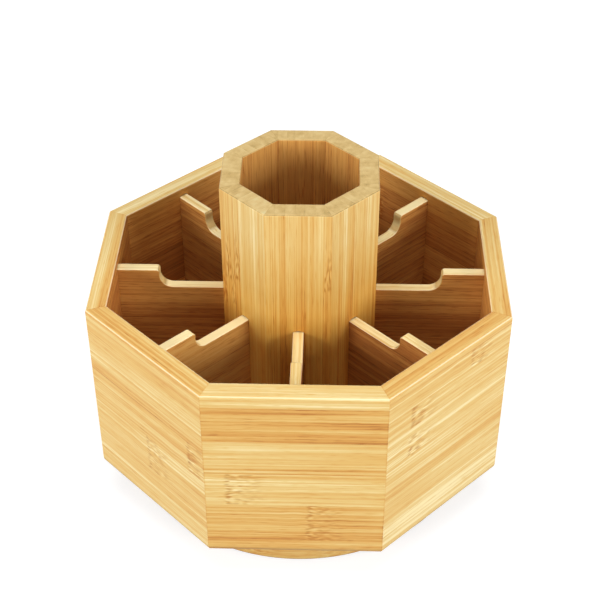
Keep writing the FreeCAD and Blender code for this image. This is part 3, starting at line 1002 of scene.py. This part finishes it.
@dataclass(frozen=True)
class BallRing:
    """The bearing's ring of steel balls, in the cage that rolls between the plates."""

    node: str = "bearing_balls"
    body: str = "ball_cage"
    count: int = 24
    roundness: int = 4  # subdivisions of a ball

    def tree(self) -> bpy.types.GeometryNodeTree:
        """Builds the tree that sets balls round a circle.

        Returns:
            The new tree.
        """
        tree, add, given = new_geometry("ball_ring", ["Ball Radius", "Ring Radius", "Height"])
        ring = add("GeometryNodeMeshCircle", {"Vertices": self.count, "Radius": given["Ring Radius"]})
        ball = add(
            "GeometryNodeMeshIcoSphere",
            {"Radius": given["Ball Radius"], "Subdivisions": self.roundness},
        )
        smooth = add("GeometryNodeSetShadeSmooth", {0: ball.outputs["Mesh"]})
        balls = add("GeometryNodeInstanceOnPoints", {"Points": ring, "Instance": smooth})
        height = add(COMBINE, {"Z": given["Height"]})
        lifted = add(TRANSFORM, {"Geometry": balls, "Translation": height})
        end_geometry(add, lifted, given["Finish"])
        return tree

    def build(self) -> None:
        """Makes the balls in place of the frame's node."""
        low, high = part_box(self.node)
        radius = (high.z - low.z) / 2
        sizes = {"Ball Radius": radius, "Ring Radius": high.x - radius, "Height": low.z + radius}
        piece = grow("steel_balls", self.tree(), sizes, LAPPED_BALL_STEEL.material())
        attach(piece, self.body)
        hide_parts(self.node)


@dataclass(frozen=True)
class ScrewRing:
    """Four pan-head wood screws that hold a plate of the bearing to the wood."""

    node: str
    body: str
    first_turn: float  # angle of the first screw about the axis
    points_up: bool
    count: int = 4
    head_mm: float = 6.8
    head_height_mm: float = 2.0
    shank_mm: float = 3.4
    buried_share: float = 0.25  # how far the shank goes up into the head
    point_mm: float = 2.5
    thread_depth_mm: float = 0.35
    thread_pitch_mm: float = 1.3
    recess_mm: tuple[float, float, float] = (3.6, 0.8, 1.2)  # a cross recess: span, width and depth
    block_mm: tuple[float, float, float] = (20.0, 20.0, 10.0)  # holds a head, and cuts it level
    facets: int = 32
    seed: int = 5
    solver: str = "MANIFOLD"  # keeps a mesh closed, and gives the same one each run

    def tree(self) -> bpy.types.GeometryNodeTree:
        """Builds the tree of one screw, repeated round a circle and turned over where it points up.

        Returns:
            The new tree.
        """
        names = ["Head Radius", "Head Height", "Core Radius", "Shank", "Point", "Thread", "Turns"]
        places = ["Ring Radius", "First Turn", "Tilt", "Seat"]
        tree, add, given = new_geometry(self.node, names + places)
        screw = self.screw(add, given)
        ring = {"Vertices": self.count, "Radius": given["Ring Radius"]}
        corners = add("GeometryNodeMeshCircle", ring)
        chance = add(
            "FunctionNodeRandomValue", {"Max": math.pi / 2, "Seed": self.seed}, data_type="FLOAT"
        )
        driven = add(COMBINE, {"Z": chance})
        screws = add(
            "GeometryNodeInstanceOnPoints", {"Points": corners, "Instance": screw, "Rotation": driven}
        )
        turned = add(COMBINE, {"X": given["Tilt"], "Z": given["First Turn"]})
        seat = add(COMBINE, {"Z": given["Seat"]})
        placed = add(TRANSFORM, {"Geometry": screws, "Translation": seat, "Rotation": turned})
        end_geometry(add, placed, given["Finish"])
        return tree

    def screw(self, add: Adder, given: Sockets) -> Node:
        """Adds one screw that points down, with the underside of its head at the origin.

        Args:
            add: adds a node to the tree of the ring.
            given: the tree's inputs.

        Returns:
            The screw: a domed head with a cross recess, a threaded shank and a point.
        """
        across, core = given["Head Radius"], given["Core Radius"]
        ball = add("GeometryNodeMeshUVSphere", {"Segments": self.facets, "Rings": self.facets // 2})
        swell = add(COMBINE, {"X": across, "Y": across, "Z": given["Head Height"]})
        dome = add(TRANSFORM, {"Geometry": ball.outputs["Mesh"], "Scale": swell})
        size = [side * MM for side in self.block_mm]
        block = add("GeometryNodeMeshCube", {"Size": size}).outputs["Mesh"]
        above = add(TRANSFORM, {"Geometry": block, "Translation": [0, 0, size[2] / 2]})
        head = add(BOOLEAN, {"Mesh 2": (dome, above)}, operation="INTERSECT", solver=self.solver)
        low = add(MATH, {0: given["Shank"], 1: -1.0}, operation="MULTIPLY")
        bottom = add(COMBINE, {"Z": low})
        buried = weighted_sum(add, given["Shank"], [(given["Head Height"], self.buried_share)])
        solids = [head]
        for end, depth, turn in ((core, buried, 0.0), (0.0, given["Point"], math.pi)):
            cone = add(
                "GeometryNodeMeshCone",
                {"Vertices": self.facets, "Radius Top": end, "Radius Bottom": core, "Depth": depth},
            )
            placed = {"Geometry": cone.outputs["Mesh"], "Rotation": [turn, 0, 0], "Translation": bottom}
            solids.append(add(TRANSFORM, placed))
        spiral = add(
            "GeometryNodeCurveSpiral",
            {
                "Resolution": self.facets,
                "Rotations": given["Turns"],
                "Start Radius": core,
                "End Radius": core,
                "Height": given["Shank"],
            },
        )
        ridge = add("GeometryNodeCurvePrimitiveCircle", {"Resolution": 3, "Radius": given["Thread"]})
        thread = add(
            "GeometryNodeCurveToMesh",
            {"Curve": spiral, "Profile Curve": ridge.outputs["Curve"], "Fill Caps": True},
        )
        solids.append(add(TRANSFORM, {"Geometry": thread, "Translation": bottom}))
        whole = add(BOOLEAN, {"Mesh 2": tuple(solids)}, operation="UNION", solver=self.solver)
        span, width, depth = (size * MM for size in self.recess_mm)
        top = add(COMBINE, {"Z": given["Head Height"]})
        arms = []
        for size in ([span, width, 2 * depth], [width, span, 2 * depth]):
            arm = add("GeometryNodeMeshCube", {"Size": size}).outputs["Mesh"]
            arms.append(add(TRANSFORM, {"Geometry": arm, "Translation": top}))
        cut = add(
            BOOLEAN,
            {"Mesh 1": whole, "Mesh 2": tuple(arms)},
            operation="DIFFERENCE",
            solver=self.solver,
        )
        return add("GeometryNodeSetShadeSmooth", {0: cut, "Shade Smooth": False})

    def build(self) -> None:
        """Makes the screws in place of the frame's node."""
        low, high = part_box(self.node)
        head = self.head_mm / 2 * MM
        height = self.head_height_mm * MM
        shank = high.z - low.z - (self.head_height_mm + self.point_mm) * MM
        sizes = {
            "Head Radius": head,
            "Head Height": height,
            "Core Radius": (self.shank_mm / 2 - self.thread_depth_mm) * MM,
            "Shank": shank,
            "Point": self.point_mm * MM,
            "Thread": self.thread_depth_mm * MM,
            "Turns": shank / (self.thread_pitch_mm * MM),
            "Ring Radius": (high.x - head) / math.cos(self.first_turn),
            "First Turn": self.first_turn,
            "Tilt": math.pi if self.points_up else 0.0,
            "Seat": low.z + height if self.points_up else high.z - height,
        }
        name = self.node.replace("plate", "wood")
        piece = grow(name, self.tree(), sizes, ZINC_PLATED_SCREW.material())
        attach(piece, self.body)
        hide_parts(self.node)


@dataclass(frozen=True)
class TurntableBearing:
    """The ball-race turntable between base and tray."""

    pressings: tuple[str, ...] = ("bearing_lower_plate", "bearing_upper_plate", "bearing_collar")
    retainer: str = "ball_retainer"
    balls: BallRing = BallRing()
    screws: tuple[ScrewRing, ...] = (
        ScrewRing("lower_plate_screws", "base", math.pi / 4, points_up=False),
        ScrewRing("upper_plate_screws", "tray", 0.0, points_up=True),
    )

    def build(self) -> None:
        """Makes the balls and screws, and dresses the rest."""
        steel = ZINC_PLATED_STEEL.material()
        for node in self.pressings:
            dress(node, steel)
        dress(self.retainer, MOULDED_NYLON.material())
        self.balls.build()
        for ring in self.screws:
            ring.build()


@dataclass(frozen=True)
class FootPads:
    """The four rubber pads under the base."""

    count: int = 4

    def dress(self) -> None:
        """Gives the pads their rubber."""
        rubber = MOULDED_RUBBER.material()
        for number in range(1, self.count + 1):
            dress(f"foot_pad_{number}", rubber)


@dataclass(frozen=True)
class Softbox:
    """A soft studio lamp that faces the object, with the sizes of those at the sides."""

    name: str
    azimuth: float  # degrees from the front, anticlockwise seen from above
    elevation: float = 15.5
    distance: float = 1.3
    width: float = 0.8
    height: float = 0.5
    level: float = 0.67  # brightness that it alone gives a white card facing it


@dataclass(frozen=True)
class Studio:
    """Camera, lamps, floor and backdrop."""

    lens_mm: float = 80.15
    camera_azimuth: float = 1.62
    camera_elevation: float = 38.07
    camera_distance: float = 0.6716
    camera_roll: float = -0.13  # degrees, anticlockwise seen from behind
    aim: tuple[float, float, float] = (-0.00024, 0.0, 0.0963)
    floor_size: float = 6.0
    floor_colour: str = "#B4B4B4"  # of the paper, without its glow
    floor_glow: float = 0.75  # how white the floor looks under the object
    sweep: tuple[float, float] = (0.3, 1.0)  # how far out it starts to pale, and is white
    backdrop: str = "#FFFFFF"
    world_level: float = 0.08
    lamps: tuple[Softbox, ...] = (
        Softbox("top_softbox", 0.0, elevation=80.0, distance=1.6, width=1.3, height=0.8, level=0.66),
        Softbox("left_softbox", -56.0),
        Softbox("right_softbox", 56.0),
    )

    def build(self) -> None:
        """Builds everything round the object."""
        self.add_camera()
        for lamp in self.lamps:
            self.add_lamp(lamp)
        self.add_floor()
        self.light_world()
        bpy.context.scene.view_settings.view_transform = "Standard"

    def place(self, thing: bpy.types.Object, azimuth: float, elevation: float, distance: float) -> None:
        """Puts a lamp or camera round the object, turned to it.

        Args:
            thing: the lamp or camera.
            azimuth: degrees from the front, anticlockwise seen from above.
            elevation: degrees above the horizon.
            distance: metres from the point that the camera aims at.
        """
        turn = Matrix.Rotation(math.radians(azimuth), 3, "Z")
        tilt = Matrix.Rotation(math.radians(-elevation), 3, "X")
        way = turn @ tilt @ Vector((0, -distance, 0))
        thing.location = Vector(self.aim) + way
        thing.rotation_euler = (-way).to_track_quat("-Z", "Y").to_euler()
        bpy.context.scene.collection.objects.link(thing)

    def add_camera(self) -> None:
        """Sets the camera at the viewing angle."""
        camera = bpy.data.cameras.new("camera")
        camera.lens = self.lens_mm
        thing = bpy.data.objects.new("camera", camera)
        self.place(thing, self.camera_azimuth, self.camera_elevation, self.camera_distance)
        thing.rotation_euler.rotate_axis("Z", math.radians(self.camera_roll))
        bpy.context.scene.camera = thing

    def add_lamp(self, lamp: Softbox) -> None:
        """Adds a soft lamp at the power that gives its level.

        Args:
            lamp: its place, size and level.
        """
        light = bpy.data.lights.new(lamp.name, "AREA")
        light.shape = "RECTANGLE"
        light.size = lamp.width
        light.size_y = lamp.height
        light.energy = lamp.level * math.pi**2 * lamp.distance**2
        self.place(bpy.data.objects.new(lamp.name, light), lamp.azimuth, lamp.elevation, lamp.distance)

    def shown(self, add: Adder) -> Source:
        """Adds a switch that is 1 where the camera sees a surface, also in a mirror or through glass.

        Args:
            add: adds a node to the floor's material or to the world.

        Returns:
            The switch.
        """
        ray = add("ShaderNodeLightPath").outputs
        seen = ray["Is Camera Ray"]
        for kind in ("Is Glossy Ray", "Is Transmission Ray"):
            seen = add(MATH, {0: seen, 1: ray[kind]}, operation="MAXIMUM")
        return seen

    def add_floor(self) -> None:
        """Lays a wide floor of matt paper, white to the camera, that keeps the object's shadow."""
        half = self.floor_size / 2
        mesh = bpy.data.meshes.new("floor")
        corners = [(-half, -half, 0), (half, -half, 0), (half, half, 0), (-half, half, 0)]
        mesh.from_pydata(corners, [], [(0, 1, 2, 3)])
        floor = bpy.data.objects.new("floor", mesh)
        material, add = new_material("white_paper_sweep")
        place = add("ShaderNodeTexCoord").outputs["Object"]
        away = add("ShaderNodeVectorMath", {0: place}, operation="LENGTH").outputs["Value"]
        near, far = self.sweep
        level = add(
            MAP_RANGE,
            {"Value": away, "From Min": near, "From Max": far, "To Min": self.floor_glow},
        )
        shader = add(
            SHADER,
            {
                "Base Color": linear(self.floor_colour),
                "Roughness": 0.9,
                "Specular IOR Level": 0.0,
                "Emission Color": linear(self.backdrop),
                "Emission Strength": weighted_sum(add, 0.0, [(self.shown(add), level)]),
            },
        )
        add("ShaderNodeOutputMaterial", {"Surface": shader})
        mesh.materials.append(material)
        bpy.context.scene.collection.objects.link(floor)

    def light_world(self) -> None:
        """Gives the world a low soft light and a white face for the camera."""
        world = bpy.data.worlds.new("studio_world")
        world.use_nodes = True
        world.node_tree.nodes.clear()
        add = partial(add_node, world.node_tree)
        level = add(MAP_RANGE, {"Value": self.shown(add), "To Min": self.world_level, "To Max": 1.0})
        back = add("ShaderNodeBackground", {"Color": linear(self.backdrop), "Strength": level})
        add("ShaderNodeOutputWorld", {"Surface": back})
        bpy.context.scene.world = world


def main() -> None:
    """Builds and dresses the caddy, then its studio."""
    logging.basicConfig(level=logging.INFO)
    for boards in (WallRing(), CentreTube(), DividerSet(), TrayFloor(), BaseDisc()):
        boards.dress()
    TurntableBearing().build()
    FootPads().dress()
    Studio().build()


if __name__ == "__main__":
    main()
